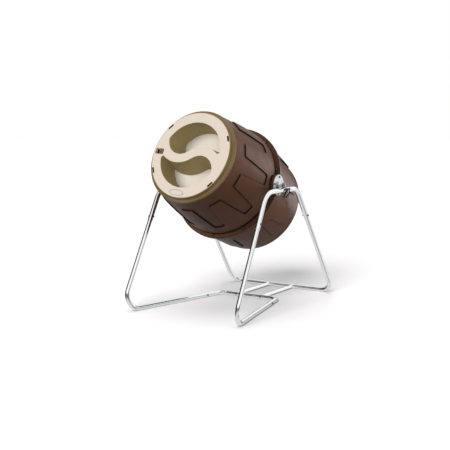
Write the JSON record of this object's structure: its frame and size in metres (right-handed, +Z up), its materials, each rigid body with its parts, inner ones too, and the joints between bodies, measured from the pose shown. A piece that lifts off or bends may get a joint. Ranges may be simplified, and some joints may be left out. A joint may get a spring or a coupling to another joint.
{
  "type": "compost tumbler",
  "caption": "Garden compost tumbler: a ribbed two-part drum with a twist-off lid that turns end over end on a bent tube stand.",
  "frame": {"origin": "on the floor, at the middle of the stand's footprint", "axes": "+X to the right seen from the front, where the lid is; +Y to the back; +Z up"},
  "size_m": [0.777, 1.1745, 1.1442],
  "materials": {
    "tube_zinc": "bright zinc-plated steel tube",
    "plate_zinc": "zinc-plated plate, slightly dull",
    "bolt_steel": "plated bolts and nuts",
    "screw_zinc": "bright zinc screws and nuts",
    "axle_steel": "plain steel tube",
    "nylon": "dark nylon bush",
    "cap_plastic": "dark moulded cap",
    "bail_black": "black coated steel",
    "drum_brown": "dark brown moulded plastic, soft sheen",
    "collar_brown": "dark brown moulded plastic",
    "lid_tan": "sand-coloured moulded plastic",
    "seal_black": "soft black rubber",
    "latch_brown": "brown moulded plastic"
  },
  "bodies": {
    "stand": {"upper_frame_right": "tube_zinc", "upper_frame_left": "tube_zinc", "front_leg_right": "tube_zinc", "front_leg_left": "tube_zinc", "front_middle_tube": "tube_zinc", "rear_frame_tube": "tube_zinc", "crossbar_right": "tube_zinc", "crossbar_left": "tube_zinc", "crossbar_screws": "bolt_steel", "joint_bolts": "bolt_steel", "joint_nuts": "bolt_steel", "saddle_right": "plate_zinc", "saddle_left": "plate_zinc", "bearing_right": "nylon", "bearing_left": "nylon", "saddle_bolts": "bolt_steel", "saddle_nuts": "bolt_steel", "bail_clip": "bail_black", "bail_pin": "bolt_steel"},
    "bail": {"lock_bail": "bail_black"},
    "drum": {"front_drum_half": "drum_brown", "rear_drum_half": "drum_brown", "flange_screws": "screw_zinc", "flange_nuts": "screw_zinc", "axle_tube": "axle_steel", "pivot_plate_right": "plate_zinc", "pivot_plate_left": "plate_zinc", "plate_bolts": "bolt_steel", "plate_nuts": "bolt_steel", "axle_cap_right": "cap_plastic", "axle_cap_left": "cap_plastic", "lid_collar": "collar_brown", "collar_screws": "screw_zinc"},
    "seal": {"lid_seal": "seal_black"},
    "lid": {"lid": "lid_tan"},
    "latch": {"lid_latch": "latch_brown"}
  },
  "joints": [
    {"name": "drum_tumble", "type": "hinge", "parent": "stand", "child": "drum", "pos_m": [0, -0.08, 0.73], "axis": [1, 0, 0], "continuous": true},
    {"name": "lid_lift", "type": "slide", "parent": "drum", "child": "seal", "axis": [0, -0.91, 0.4147], "range_m": [0, 0.15]},
    {"name": "lid_twist", "type": "hinge", "parent": "seal", "child": "lid", "pos_m": [0, -0.46673, 0.90624], "axis": [0, -0.91, 0.4147], "range_deg": [0, 12]},
    {"name": "latch_slide", "type": "slide", "parent": "lid", "child": "latch", "axis": [-0.9962, 0.0361, 0.0793], "range_m": [0, 0.025]},
    {"name": "bail_swing", "type": "hinge", "parent": "stand", "child": "bail", "pos_m": [0.3826, -0.046, 0.707], "axis": [0, -1, 0], "range_deg": [0, 150]}
  ]
}
